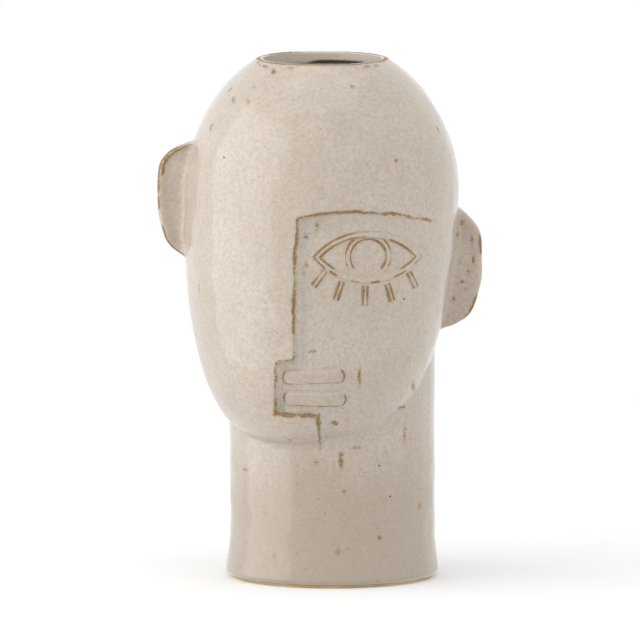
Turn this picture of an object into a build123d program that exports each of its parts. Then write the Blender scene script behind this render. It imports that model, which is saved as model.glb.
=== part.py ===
from build123d import *
import os
from math import radians, sin, sqrt

# Face vase in stoneware: an egg-shaped head on an oval neck, open at the crown.
# Units are millimetres. The origin is the centre of the foot, +Z is up and the face looks along -Y.
# The clay pieces are made apart, scored and joined with slip: a foot slab, a neck tube, two press-moulded
# head halves that lap at the sides, a mouth rim, two ears and the small applied pieces of the face.

# Overall sizes
VASE_HEIGHT = 260.0
WALL = 6.5
SLIP_GAP = 0.2  # the thin layer of slip left beside each tongue and spigot

# Head: an egg with oval level sections, a round crown and a squarer jaw
HEAD_WIDTH = 137.0
HEAD_DEPTH = 146.0
WIDEST_HEIGHT = 192.0
CROWN_CUT = 8.5  # height of the egg's tip that the mouth takes away
CHIN_HEIGHT = 68.5  # the egg's lower tip, inside the neck
JAW_SQUARENESS = 3.5
HEAD_SHIFT = -5.0  # sideways, from the neck's axis
JAW_SWING_SIDE = -0.042  # sideways for each millimetre below the widest level
JAW_SWING_FRONT = -0.145  # forwards for each millimetre below the widest level
JAW_FILLET = 3.0
JAW_ANGLES = (83, 77, 70, 60, 48, 34, 18)  # turns down from the widest level where a section is taken
CROWN_SHARES = (0, 0.35, 0.7)  # shares of the way up from the widest level to the rim's seat

# Neck and foot
NECK_WIDTH = 103.0
NECK_DEPTH = 98.0
COLLAR_DROP = 2.5  # from the egg's lower tip down to where the neck tube meets the head
TONGUE_HEIGHT = 4.0
NECK_FLARE = 2.0
FLARE_HEIGHT = 22.0
FOOT_EDGE_RADIUS = 3.5
FOOT_SHOW = 1.5  # bare clay that shows below the glazed wall
FLOOR_THICKNESS = 8.0
FOOT_CHAMFER = 0.4

# Side seam of the head halves
SEAM_Y = 0.0
LAP_LENGTH = 5.0

# Mouth rim at the crown
RIM_HEIGHT = 8.0
RIM_THICKNESS = 3.8
RIM_ROUND = 1.2
SPIGOT_DEPTH = 4.0

# Ears: one outline, as shares of the reach and of half the height, used on both sides
EAR_HEIGHT = 58.0
EAR_REACH = 15.0
EAR_OUTLINE = ((-0.6, 1.02), (0.1, 0.97), (0.8, 0.68), (1.0, 0.1), (0.84, -0.5), (0.35, -0.88), (-0.6, -1.1))
EAR_THICKNESS = 10.0
EAR_ROUND = 2.5
EAR_LEFT_DROP = 3.0  # the middle of the ear below the widest level
EAR_RIGHT_DROP = 37.5
EAR_LEFT_FRONT = -11.0
EAR_RIGHT_FRONT = 3.0
DISH_WIDTH = 14.0
DISH_HEIGHT = 40.0
DISH_DEPTH = 3.5
DISH_PLACE = 0.25  # share of the reach

# Face: the viewer's right half is a sunken panel, whose floor is the egg itself moved back and to the side.
# Places on the face are given sideways from the middle and down from the widest level.
PANEL_DEPTH = 4.0
PANEL_SIDE = 3.0
PANEL_CLEAR = 0.3  # the carving stays this far from the neck's wall
NOSE_TOP = (-17.0, 5.5)
BROW_PEAK = (14.5, 1.5)
BROW_END = (51.0, 8.5)
NOSE_FOOT = (-18.5, 75.0)
NOTCH_X = -28.0
NOTCH_TOP = 77.5
NOTCH_FOOT = 105.0
CHIN_X = -6.5

# Applied pieces of the face
EYE_PLACE = (18.0, 25.0)
EYE_LENGTH = 54.0
EYE_UPPER_RISE = 12.5
EYE_LOWER_DROP = 13.5
EYE_RIB = 3.3
EYE_RELIEF = 1.5
IRIS_DIAMETER = 23.6
IRIS_OFFSET = 1.0
LASH_COUNT = 5
LASH_LENGTH = 9.5
LASH_WIDTH = 3.6
LASH_PITCH = 18.0  # degrees between lashes
LASH_GAP = 0.8
LIP_LENGTH = 31.0
LIP_HEIGHT = 7.2
LIP_RELIEF = 2.6
LIP_ROUND = 1.1
UPPER_LIP = (-8.6, 85.0)
LOWER_LIP = (-8.2, 96.8)
UPPER_LIP_TILT = 2.0
LOWER_LIP_TILT = -1.0

RIM_SEAT = VASE_HEIGHT - RIM_HEIGHT
CROWN_RISE = VASE_HEIGHT + CROWN_CUT - WIDEST_HEIGHT
JAW_DROP = WIDEST_HEIGHT - CHIN_HEIGHT
COLLAR_HEIGHT = CHIN_HEIGHT - COLLAR_DROP
STUMP_TOP = WIDEST_HEIGHT  # the head's own neck stump ends here, inside the egg
FACE_START = HEAD_DEPTH / 8  # cuts and pads of the face start this far in front of the middle, inside the egg
FRONT_REACH = HEAD_DEPTH  # and end this far from there, clear of the head


def egg_section(height, inset=0.0):
    """Centre x, centre y, half width and half depth of the egg at a height, for an egg smaller all round."""
    rise = height - WIDEST_HEIGHT
    if rise > 0:
        share = sqrt(1 - (rise / (CROWN_RISE - inset)) ** 2)
    else:
        share = (1 - (rise / (JAW_DROP - inset)) ** 2) ** (1 / JAW_SQUARENESS)
    drop = max(0.0, -rise)
    return (
        HEAD_SHIFT + JAW_SWING_SIDE * drop,
        JAW_SWING_FRONT * drop,
        (HEAD_WIDTH / 2 - inset) * share,
        (HEAD_DEPTH / 2 - inset) * share,
    )


def egg_solid(inset=0.0):
    """The head's egg, from inside the neck stump up to the crown."""
    heights = [WIDEST_HEIGHT - (JAW_DROP - inset) * sin(radians(angle)) for angle in JAW_ANGLES]
    heights += [WIDEST_HEIGHT + (RIM_SEAT - WIDEST_HEIGHT) * share for share in CROWN_SHARES]
    heights += [RIM_SEAT, VASE_HEIGHT]
    with BuildPart() as egg:
        for height in heights:
            centre_x, centre_y, half_width, half_depth = egg_section(height, inset)
            with BuildSketch(Plane.XY.offset(height)):
                with Locations((centre_x, centre_y)):
                    Ellipse(half_depth, half_width, rotation=90)
        loft()
    return egg.part


def face_point(place):
    """A place on the face as a point of the upright middle plane."""
    return (place[0], WIDEST_HEIGHT - place[1])


def neck_oval(inset, bottom, top):
    """A solid of the neck's level section, inset from its outside, between two heights."""
    with BuildPart() as oval:
        with BuildSketch(Plane.XY.offset(bottom)):
            Ellipse(NECK_WIDTH / 2 - inset, NECK_DEPTH / 2 - inset, rotation=180)
        extrude(amount=top - bottom)
    return oval.part


def hollow_solid(inset):
    """The space at a given depth below the outside of the head and its neck stump."""
    egg = egg_solid(inset)
    bore = neck_oval(inset, COLLAR_HEIGHT, STUMP_TOP)
    with BuildPart() as hollow:
        add(egg)
        add(bore)
    return hollow.part


def panel_cutter(floor):
    """What is carved away in front of the sunken panel's floor, clear of the neck."""
    neck_guard = neck_oval(-PANEL_CLEAR, COLLAR_HEIGHT, STUMP_TOP)
    nose_top = face_point(NOSE_TOP)
    brow_end = face_point(BROW_END)
    notch_top = WIDEST_HEIGHT - NOTCH_TOP
    notch_foot = WIDEST_HEIGHT - NOTCH_FOOT
    with BuildPart() as cutter:
        with BuildSketch(Plane.XZ.offset(FACE_START)):
            with BuildLine():
                ThreePointArc(nose_top, face_point(BROW_PEAK), brow_end)
                Polyline(
                    brow_end,
                    (HEAD_WIDTH, brow_end[1]),
                    (HEAD_WIDTH, COLLAR_HEIGHT),
                    (CHIN_X, COLLAR_HEIGHT),
                    (CHIN_X, notch_foot),
                    (NOTCH_X, notch_foot),
                    (NOTCH_X, notch_top),
                    (NOSE_FOOT[0], notch_top),
                    face_point(NOSE_FOOT),
                    nose_top,
                )
            make_face()
        extrude(amount=FRONT_REACH)
        add(floor, mode=Mode.SUBTRACT)
        add(neck_guard, mode=Mode.SUBTRACT)
    return cutter.part


def head_shell(egg, floor, stump):
    """The hollow head with its neck stump, before it is parted at the side seam."""
    carved = panel_cutter(floor)
    hollow = hollow_solid(WALL)
    rebate = neck_oval(WALL / 2, COLLAR_HEIGHT, COLLAR_HEIGHT + TONGUE_HEIGHT + SLIP_GAP)
    with BuildPart() as shell:
        add(egg)
        add(stump)
        jaw_line = shell.edges(Select.LAST).filter_by(GeomType.BSPLINE)
        fillet(jaw_line.filter_by(lambda edge: edge.center().Z < STUMP_TOP), radius=JAW_FILLET)
        add(carved, mode=Mode.SUBTRACT)
        add(hollow, mode=Mode.SUBTRACT)
        add(rebate, mode=Mode.SUBTRACT)
        split(bisect_by=Plane.XY.offset(RIM_SEAT), keep=Keep.BOTTOM)
    return shell.part


def crown_oval(height, egg_inset, level_inset, bottom, top):
    """An upright solid of the level section, at one height, of the egg or of the hollow inside it."""
    centre_x, centre_y, half_width, half_depth = egg_section(height, egg_inset)
    with BuildPart() as oval:
        with BuildSketch(Plane.XY.offset(bottom)):
            with Locations((centre_x, centre_y)):
                Ellipse(half_width - level_inset, half_depth - level_inset)
        extrude(amount=top - bottom)
    return oval.part


def moved_egg(egg, side, back):
    """The egg moved sideways and back."""
    return egg.moved(Location((side, back, 0)))


os.makedirs("parts", exist_ok=True)

head_egg = egg_solid()
panel_floor = moved_egg(head_egg, PANEL_SIDE, PANEL_DEPTH)
head_stump = neck_oval(0.0, COLLAR_HEIGHT, STUMP_TOP)
shell_whole = head_shell(head_egg, panel_floor, head_stump)
seam = Plane.XZ.offset(-SEAM_Y)

# Foot slab: a plug inside the neck and a bare flange under its wall
foot_width = NECK_WIDTH / 2 + NECK_FLARE - FOOT_EDGE_RADIUS
foot_depth = NECK_DEPTH / 2 + NECK_FLARE - FOOT_EDGE_RADIUS
with BuildPart() as foot_slab:
    with BuildSketch():
        Ellipse(foot_width, foot_depth)
    extrude(amount=FOOT_SHOW)
    chamfer(foot_slab.edges().group_by(Axis.Z)[0], length=FOOT_CHAMFER)
    with BuildSketch(Plane.XY.offset(FOOT_SHOW)):
        Ellipse(NECK_WIDTH / 2 - WALL - SLIP_GAP, NECK_DEPTH / 2 - WALL - SLIP_GAP)
    extrude(amount=FLOOR_THICKNESS - FOOT_SHOW)
foot_slab.part.label = "foot_slab"
export_step(foot_slab.part, "parts/foot_slab.step")

# Neck tube: flared and rounded at the foot, with a tongue that stands inside the head's stump
neck_bore = neck_oval(WALL, 0.0, COLLAR_HEIGHT + TONGUE_HEIGHT)
with BuildPart() as neck_tube:
    with BuildSketch(Plane.XY.offset(FOOT_SHOW)):
        Ellipse(NECK_WIDTH / 2 + NECK_FLARE, NECK_DEPTH / 2 + NECK_FLARE)
    with BuildSketch(Plane.XY.offset(FLARE_HEIGHT)):
        Ellipse(NECK_WIDTH / 2, NECK_DEPTH / 2)
    loft(ruled=True)
    fillet(neck_tube.edges().group_by(Axis.Z)[0], radius=FOOT_EDGE_RADIUS)
    with BuildSketch(Plane.XY.offset(FLARE_HEIGHT)):
        Ellipse(NECK_WIDTH / 2, NECK_DEPTH / 2)
    extrude(amount=COLLAR_HEIGHT - FLARE_HEIGHT)
    with BuildSketch(Plane.XY.offset(COLLAR_HEIGHT)):
        tongue_inset = WALL / 2 + SLIP_GAP
        Ellipse(NECK_WIDTH / 2 - tongue_inset, NECK_DEPTH / 2 - tongue_inset)
    extrude(amount=TONGUE_HEIGHT)
    add(neck_bore, mode=Mode.SUBTRACT)
neck_tube.part.label = "neck_tube"
export_step(neck_tube.part, "parts/neck_tube.step")


def lap_strip(gap):
    """The inner half of the head's wall, just behind the side seam."""
    strip_core = hollow_solid(WALL / 2 - gap)
    with BuildPart() as strip:
        add(shell_whole)
        add(strip_core, mode=Mode.INTERSECT)
        split(bisect_by=seam, keep=Keep.BOTTOM)
        split(bisect_by=Plane.XZ.offset(-SEAM_Y - LAP_LENGTH - gap), keep=Keep.TOP)
    return strip.part


# Front half of the head, with the carved face and a tongue along the side seam
seam_tongue = lap_strip(0.0)
with BuildPart() as head_front:
    add(shell_whole)
    split(bisect_by=seam, keep=Keep.TOP)
    add(seam_tongue)
head_front.part.label = "head_front"
export_step(head_front.part, "parts/head_front.step")

# Back half of the head, rebated for that tongue
seam_rebate = lap_strip(SLIP_GAP)
with BuildPart() as head_back:
    add(shell_whole)
    split(bisect_by=seam, keep=Keep.BOTTOM)
    add(seam_rebate, mode=Mode.SUBTRACT)
head_back.part.label = "head_back"
export_step(head_back.part, "parts/head_back.step")

# Mouth rim: the crown's last ring, with a spigot inside the head's opening
spigot = crown_oval(RIM_SEAT, WALL, SLIP_GAP, RIM_SEAT - SPIGOT_DEPTH, RIM_SEAT)
mouth_hole = crown_oval(VASE_HEIGHT, 0.0, RIM_THICKNESS, RIM_SEAT - SPIGOT_DEPTH, VASE_HEIGHT)
with BuildPart() as mouth_rim:
    add(head_egg)
    split(bisect_by=Plane.XY.offset(RIM_SEAT), keep=Keep.TOP)
    add(spigot)
    add(mouth_hole, mode=Mode.SUBTRACT)
    fillet(mouth_rim.faces().sort_by(Axis.Z)[-1].edges(), radius=RIM_ROUND)
mouth_rim.part.label = "mouth_rim"
export_step(mouth_rim.part, "parts/mouth_rim.step")


def ear_solid(side, drop, front):
    """A dished slab ear, trimmed to the head. Side is -1 on the viewer's left and 1 on the right."""
    middle = WIDEST_HEIGHT - drop
    centre_x, _, half_width, _ = egg_section(middle)
    root_x = centre_x + side * half_width
    outline = [(root_x + side * EAR_REACH * reach, middle + EAR_HEIGHT / 2 * rise) for reach, rise in EAR_OUTLINE]
    dish_radius = DISH_WIDTH / 2
    with BuildPart() as dish:
        with BuildSketch(Plane.XZ):
            Ellipse(dish_radius, DISH_HEIGHT / 2)
            Rectangle(dish_radius, DISH_HEIGHT, align=(Align.MAX, Align.CENTER), mode=Mode.SUBTRACT)
        revolve(axis=Axis.Z)
    dish_place = Location((root_x + side * EAR_REACH * DISH_PLACE, front + DISH_DEPTH - dish_radius, middle))
    with BuildPart() as ear:
        with BuildSketch(Plane.XZ.offset(-front - EAR_THICKNESS)):
            with BuildLine():
                Spline(outline)
                Line(outline[-1], outline[0])
            make_face()
        extrude(amount=EAR_THICKNESS)
        face_edges = ear.faces().filter_by(Axis.Y).edges()
        fillet(face_edges.filter_by(GeomType.BSPLINE), radius=EAR_ROUND)
        add(dish.part.moved(dish_place), mode=Mode.SUBTRACT)
        add(head_egg, mode=Mode.SUBTRACT)
        add(head_stump, mode=Mode.SUBTRACT)
    return ear.part


# Ears: slabs pressed onto the sides of the head
ear_left = ear_solid(-1, EAR_LEFT_DROP, EAR_LEFT_FRONT)
ear_left.label = "ear_left"
export_step(ear_left, "parts/ear_left.step")

ear_right = ear_solid(1, EAR_RIGHT_DROP, EAR_RIGHT_FRONT)
ear_right.label = "ear_right"
export_step(ear_right, "parts/ear_right.step")

# Lips: two pads on the panel's floor
lip_top = moved_egg(panel_floor, 0.0, -LIP_RELIEF)
for name, place, tilt in (
    ("upper_lip", UPPER_LIP, UPPER_LIP_TILT),
    ("lower_lip", LOWER_LIP, LOWER_LIP_TILT),
):
    with BuildPart() as lip:
        with BuildSketch(Plane.XZ.offset(FACE_START)):
            with Locations(face_point(place)):
                SlotOverall(LIP_LENGTH, LIP_HEIGHT, rotation=tilt)
        extrude(amount=FRONT_REACH)
        add(lip_top, mode=Mode.INTERSECT)
        add(panel_floor, mode=Mode.SUBTRACT)
        fillet(lip.faces().sort_by(Axis.Y)[0].edges(), radius=LIP_ROUND)
    lip.part.label = name
    export_step(lip.part, f"parts/{name}.step")

# Eye: an almond rib, a ring for the iris and a fan of lashes, all on the panel's floor
eye_top = moved_egg(panel_floor, 0.0, -EYE_RELIEF)
lid_radius = (EYE_LENGTH**2 / 4 + EYE_LOWER_DROP**2) / (2 * EYE_LOWER_DROP)
eye_centre = face_point(EYE_PLACE)
lid_centre = (eye_centre[0], eye_centre[1] + lid_radius - EYE_LOWER_DROP)


def almond_face(inset):
    """The eye's outline, inset from its outer edge."""
    with BuildSketch() as almond:
        with BuildLine():
            ThreePointArc((-EYE_LENGTH / 2, 0), (0, EYE_UPPER_RISE), (EYE_LENGTH / 2, 0))
            ThreePointArc((-EYE_LENGTH / 2, 0), (0, -EYE_LOWER_DROP), (EYE_LENGTH / 2, 0))
        make_face()
        if inset:
            offset(amount=-inset, kind=Kind.INTERSECTION, mode=Mode.REPLACE)
    return almond.sketch


almond_outer = almond_face(0.0)
almond_inner = almond_face(EYE_RIB)

with BuildPart() as eye_outline:
    with BuildSketch(Plane.XZ.offset(FACE_START)):
        with Locations(eye_centre):
            add(almond_outer)
            add(almond_inner, mode=Mode.SUBTRACT)
    extrude(amount=FRONT_REACH)
    add(eye_top, mode=Mode.INTERSECT)
    add(panel_floor, mode=Mode.SUBTRACT)
eye_outline.part.label = "eye_outline"
export_step(eye_outline.part, "parts/eye_outline.step")

with BuildPart() as iris_ring:
    with BuildSketch(Plane.XZ.offset(FACE_START)):
        with Locations((eye_centre[0] + IRIS_OFFSET, eye_centre[1])):
            Circle(IRIS_DIAMETER / 2)
            Circle(IRIS_DIAMETER / 2 - EYE_RIB, mode=Mode.SUBTRACT)
        with Locations(eye_centre):
            add(almond_inner, mode=Mode.INTERSECT)
    extrude(amount=FRONT_REACH)
    add(eye_top, mode=Mode.INTERSECT)
    add(panel_floor, mode=Mode.SUBTRACT)
iris_ring.part.label = "iris_ring"
export_step(iris_ring.part, "parts/iris_ring.step")

lash_fan = LASH_PITCH * (LASH_COUNT - 1)
with BuildPart() as eyelashes:
    with BuildSketch(Plane.XZ.offset(FACE_START)):
        with Locations(lid_centre):
            with PolarLocations(
                lid_radius + LASH_GAP + LASH_LENGTH / 2,
                LASH_COUNT,
                start_angle=-90 - lash_fan / 2,
                angular_range=lash_fan,
                endpoint=True,
            ):
                Rectangle(LASH_LENGTH, LASH_WIDTH)
    extrude(amount=FRONT_REACH)
    add(eye_top, mode=Mode.INTERSECT)
    add(panel_floor, mode=Mode.SUBTRACT)
eyelashes.part.label = "eyelashes"
export_step(eyelashes.part, "parts/eyelashes.step")
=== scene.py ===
import math
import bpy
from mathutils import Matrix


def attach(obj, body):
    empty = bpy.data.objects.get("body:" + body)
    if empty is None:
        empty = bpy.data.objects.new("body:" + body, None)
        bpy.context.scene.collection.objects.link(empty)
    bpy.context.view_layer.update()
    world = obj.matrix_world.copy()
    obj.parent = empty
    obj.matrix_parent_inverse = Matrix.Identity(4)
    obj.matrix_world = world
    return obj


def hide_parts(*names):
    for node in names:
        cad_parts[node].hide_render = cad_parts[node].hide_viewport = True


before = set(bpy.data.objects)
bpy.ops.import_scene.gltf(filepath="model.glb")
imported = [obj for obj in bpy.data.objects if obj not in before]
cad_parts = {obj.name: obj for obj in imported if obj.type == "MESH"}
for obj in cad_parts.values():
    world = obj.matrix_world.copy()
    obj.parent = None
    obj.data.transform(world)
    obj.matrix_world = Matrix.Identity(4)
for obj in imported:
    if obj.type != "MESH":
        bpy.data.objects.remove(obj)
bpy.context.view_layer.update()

from types import SimpleNamespace

import bmesh
import bpy
import numpy as np
from bpy.props import FloatProperty, FloatVectorProperty, PointerProperty
from mathutils import Vector

bl_info = {
    "name": "Face vase",
    "version": (1, 0, 0),
    "blender": (4, 5, 0),
    "location": "View3D > Sidebar > Vase",
    "description": "Builds a glazed stoneware face vase on its CAD frame, with its stage",
    "category": "Object",
}

# Lengths in the code are in millimetres, and become metres where a mesh is made
METRE = 1000
MILLIMETRE = 0.001
FAR = 50.0  # counts as nowhere near
RIB_SINK = 0.3  # how far the edge of a raised piece dips under the face that it sits on
NO_LINE = 0.35  # wear this far below zero leaves no broken glaze


def length(name, metres, description):
    """A length in metres, as the sidebar shows it."""
    return FloatProperty(name=name, description=description, default=metres, unit="LENGTH", precision=5)


def number(name, value, description):
    """A plain number."""
    return FloatProperty(name=name, description=description, default=value, precision=4)


def angle_of(name, degrees, description):
    """An angle, given in degrees."""
    return FloatProperty(name=name, description=description, default=math.radians(degrees), subtype="ANGLE")


def colour(name, value, description):
    """A linear colour."""
    return FloatVectorProperty(
        name=name, description=description, default=value, size=3, subtype="COLOR", min=0.0, max=1.0
    )


class VASE_PG_body(bpy.types.PropertyGroup):
    """Sizes of the head, the neck and the foot; the large ones are the CAD model's"""

    vase_height: length("Height", 0.260, "Foot to lip")
    wall: length("Wall", 0.0065, "Wall of the head and the neck")
    head_width: length("Head width", 0.137, "Widest level, side to side")
    head_depth: length("Head depth", 0.146, "Widest level, front to back")
    widest: length("Widest level", 0.192, "Height of the widest level")
    crown_cut: length("Crown cut", 0.0085, "Tip of the egg that the mouth takes away")
    chin: length("Chin level", 0.0685, "Height of the egg's lower tip, inside the neck")
    jaw_squareness: number("Jaw squareness", 3.5, "Power of the jaw's curve")
    head_shift: length("Head shift", -0.005, "Head's middle from the neck's axis")
    swing_side: number("Swing to the side", -0.042, "Sideways shift for each length below the widest level")
    swing_front: number("Swing to the front", -0.145, "Forward shift for each length below the widest level")
    swing_blend: length("Swing blend", 0.018, "How far above and below the widest level the swing sets in")
    jaw_blend: length("Jaw blend", 0.0034, "Soft crease under the chin, on each side of the jaw line")
    jaw_tight: number("Jaw tightness", 0.22, "Share of the jaw blend that is left at the sides")
    rim_height: length("Rim height", 0.008, "Ring of the mouth")
    lip: length("Lip", 0.0019, "Thickness of the lip at its edge, half of the CAD model's")
    undercut: length("Undercut", 0.005, "How far the inside opens out below the ring of the mouth")
    neck_width: length("Neck width", 0.103, "Neck, side to side")
    neck_depth: length("Neck depth", 0.098, "Neck, front to back")
    collar: length("Collar", 0.066, "Height where the neck meets the head")
    flare: length("Flare", 0.002, "Widening at the foot")
    flare_height: length("Flare height", 0.024, "Height that the widening fades in")
    foot_edge: length("Foot edge", 0.0028, "Rounding of the glazed wall at the foot")
    foot_show: length("Foot show", 0.0015, "Bare clay below the glazed wall")
    floor: length("Floor", 0.008, "Thickness of the base slab")
    # thinner glaze and painted shade: this also darkens the lower neck in place of shade
    neck_thin: number("Thin neck", 1.1, "How much thinner the glaze is on the neck")
    dent: length("Dents", 0.0009, "Depth of the dents that hands leave")


class VASE_PG_face(bpy.types.PropertyGroup):
    """Sizes of the sunken half face and of the pieces on it"""

    panel_depth: length("Panel depth", 0.004, "How far the sunken half lies back")
    panel_side: length("Panel side", 0.003, "How far the sunken half lies to the side")
    panel_wall: length("Panel wall", 0.0043, "Width of the sloping step around the sunken half")
    eye_length: length("Eye length", 0.055, "Corner to corner")
    eye_tilt: angle_of("Eye tilt", 2.1, "How far the eye leans down at its outer corner")
    eye_rise: length("Eye rise", 0.0138, "Upper lid above the corners")
    eye_drop: length("Eye drop", 0.0126, "Lower lid below the corners")
    rib: length("Rib", 0.0037, "Width of the rib around the eye")
    ring_rib: length("Ring rib", 0.0038, "Width of the iris ring's rib")
    lash_width: length("Lash width", 0.0039, "Width of a lash")
    rib_relief: length("Rib relief", 0.0009, "Height of the ribs of the eye")
    iris: length("Iris", 0.0237, "Diameter of the iris ring")
    rib_line: length("Rib line", 0.0014, "Width of the broken glaze along each edge of a rib")
    lash_line: length("Lash line", 0.0018, "Width of the broken glaze along each edge of a lash")
    lip_length: length("Lip length", 0.031, "Length of a lip")
    lip_height: length("Lip height", 0.0076, "Height of a lip")
    lip_relief: length("Lip relief", 0.0017, "How far a lip stands out")


class VASE_PG_ears(bpy.types.PropertyGroup):
    """Sizes of the ears"""

    height: length("Height", 0.058, "Top to bottom")
    reach: length("Reach", 0.015, "Out from the head")
    left_drop: length("Left drop", 0.003, "Middle of the left ear below the widest level")
    right_drop: length("Right drop", 0.0375, "Middle of the right ear below the widest level")
    left_front: length("Left front", -0.011, "Front of the left ear")
    right_front: length("Right front", 0.003, "Front of the right ear")
    thickness: length("Thickness", 0.0098, "Front to back")
    left_dish: length("Left dish", 0.0015, "Depth of the left ear's cup")
    right_dish: length("Right dish", 0.0008, "Depth of the right ear's cup")
    left_blend: length("Left blend", 0.0055, "Hollow curve between the left ear and the head")
    right_blend: length("Right blend", 0.003, "Hollow curve between the right ear and the head")


class VASE_PG_glaze(bpy.types.PropertyGroup):
    """Colours and finish of the glaze and of the bare clay"""

    cream: colour("Cream", (0.62, 0.535, 0.445), "Glaze at its usual thickness")
    pale: colour("Pale", (0.58, 0.52, 0.455), "Glaze where it pools")
    # warm also carries the painted shade down the neck, and is darkened for it
    warm: colour("Warm", (0.485, 0.405, 0.322), "Glaze where it is thinner")
    grit: colour("Grit", (0.46, 0.37, 0.275), "Fine grain that shows through the glaze")
    # painted light: a paler copy of the glaze, kept to a band below the lip, brightens the inside of the
    # mouth in place of light
    liner_painted_light: colour("Liner", (0.86, 0.76, 0.64), "Glaze poured over the inside")
    speck: colour("Speck", (0.27, 0.235, 0.195), "Fine speckle in the glaze")
    ochre: colour("Ochre", (0.37, 0.238, 0.104), "Where the glaze breaks over an edge")
    umber: colour("Umber", (0.17, 0.085, 0.032), "Darkest part of a broken edge")
    pinhole: colour("Pinhole", (0.02, 0.016, 0.013), "Dark pinholes and iron specks")
    # bare clay, with painted light: both clay colours are lightened to stand in for light thrown up from the
    # table onto the foot
    clay: colour("Clay", (0.86, 0.68, 0.42), "Bare fired clay")
    clay_dark: colour("Dark clay", (0.62, 0.46, 0.26), "Grog and scorch in the bare clay")
    roughness: number("Roughness", 0.45, "Roughness of the glaze under its gloss")
    gloss: number("Gloss", 0.9, "Weight of the gloss coat")
    gloss_roughness: number("Gloss roughness", 0.12, "Roughness of the gloss coat")


class VASE_PG_stage(bpy.types.PropertyGroup):
    """Camera and lights"""

    target_x: length("Target x", -0.0061, "Point at the middle of the picture")
    target_z: length("Target z", 0.1282, "Point at the middle of the picture")
    distance: length("Distance", 6.0, "Camera from the target")
    elevation: angle_of("Elevation", 7.0, "Camera above the horizon")
    lens: number("Lens", 677.0, "Focal length in millimetres")
    key: number("Key", 21.5, "Power of the large light at the viewer's left")
    fill: number("Fill", 2.8, "Power of the large light at the viewer's right")
    top: number("Top", 3.7, "Power of the light overhead")
    front: number("Front", 0.81, "Brightness of the room in front of the face")
    bounce: number("Bounce", 0.88, "Brightness of the floor where it only throws light back")
    lift: number("Lift", 0.17, "Brightness added to the floor for the camera, to meet the white room")
    behind: number("Behind", 0.66, "Brightness of the white room behind the vase")
    backdrop: colour("Backdrop", (1.0, 1.0, 1.0), "What the camera sees behind")


GROUPS = (VASE_PG_body, VASE_PG_face, VASE_PG_ears, VASE_PG_glaze, VASE_PG_stage)


def settings(group):
    """A property group's lengths in millimetres, and its other values as they are."""
    values = {}
    for prop in group.bl_rna.properties:
        if prop.identifier not in {"rna_type", "name"}:
            value = getattr(group, prop.identifier)
            values[prop.identifier] = value * METRE if prop.unit == "LENGTH" else value
    return SimpleNamespace(**values)


def body_sizes(scene):
    """The body's sizes, with those that follow from them."""
    s = settings(scene.vase_body)
    s.crown_rise = s.vase_height + s.crown_cut - s.widest
    s.jaw_drop = s.widest - s.chin
    s.rim_seat = s.vase_height - s.rim_height
    return s


def smooth(low, high, value):
    """0 at low, 1 at high and an S-curve between them; low may be above high."""
    t = np.clip((value - low) / (high - low), 0.0, 1.0)
    return t * t * (3 - 2 * t)


def window(low, rise, fall, high, value):
    """1 between rise and fall, and 0 below low and above high."""
    return smooth(low, rise, value) * (1 - smooth(fall, high, value))


# Unevenness: sums of waves, the same on every run


def waves(seed, wavelength, count=28):
    """Directions and phases of the waves that add up to an even, smooth unevenness."""
    rng = np.random.default_rng(seed)
    directions = rng.normal(size=(count, 3))
    directions *= (2 * math.pi / wavelength) * rng.uniform(0.6, 1.5, (count, 1)) / np.linalg.norm(
        directions, axis=1, keepdims=True
    )
    return directions, rng.uniform(0, 2 * math.pi, count)


BROAD_WAVES = waves(3, 52.0)
SMALL_WAVES = waves(8, 17.0)
EDGE_WAVES = waves(21, 6.5)

# waves and their shares
DENT_MIX = ((BROAD_WAVES, 0.7), (SMALL_WAVES, 0.6), (EDGE_WAVES, 0.13))
STEP_MIX = ((EDGE_WAVES, 0.42), (SMALL_WAVES, 0.25))
LIP_MIX = ((BROAD_WAVES, 1.0), (EDGE_WAVES, 0.4))
NECK_MIX = ((BROAD_WAVES, 11.0), (SMALL_WAVES, 4.0))


def unevenness(points, wave_set):
    """A smooth value of about -1 to 1 at each point."""
    directions, phases = wave_set
    total = np.zeros(points.shape[:-1])
    for direction, phase in zip(directions, phases):
        total += np.sin(points @ direction + phase)
    return np.clip(total / math.sqrt(len(phases)), -2.0, 2.0) / 2.0


def mixed(points, mix):
    """Several sets of waves added up by their shares."""
    return sum(share * unevenness(points, wave_set) for wave_set, share in mix)


def dents(s, points):
    """How far hands pressed the clay in at each point, never outwards."""
    return s.dent * (1.0 + mixed(points, DENT_MIX)) * 0.5


# The clay body as numbers: ovals at each height, seen from the head's upright axis


def egg(s, z, inset=0.0):
    """Centre x, centre y, half width and half depth of the head's level section at a height."""
    rise = z - s.widest
    up = np.clip(1 - (rise / (s.crown_rise - inset)) ** 2, 1e-6, None) ** 0.5
    down = np.clip(1 - (rise / (s.jaw_drop - inset)) ** 2, 1e-6, None) ** (1 / s.jaw_squareness)
    share = np.where(rise > 0, up, down)
    near = np.clip(s.swing_blend - rise, 0, 2 * s.swing_blend)
    drop = near**2 / (4 * s.swing_blend) + np.clip(-rise - s.swing_blend, 0, None)
    return (
        s.head_shift + s.swing_side * drop,
        s.swing_front * drop,
        (s.head_width / 2 - inset) * share,
        (s.head_depth / 2 - inset) * share,
    )


def ray(s, angle, oval):
    """Distance from the head's upright axis to an oval, along an angle."""
    centre_x, centre_y, half_width, half_depth = oval
    px = (s.head_shift - centre_x) / half_width
    py = -centre_y / half_depth
    ex = np.cos(angle) / half_width
    ey = np.sin(angle) / half_depth
    a = ex * ex + ey * ey
    b = ex * px + ey * py
    root = b * b - a * (px * px + py * py - 1)
    return np.where(root > 0, (np.sqrt(np.clip(root, 0, None)) - b) / a, 0.0)


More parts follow.
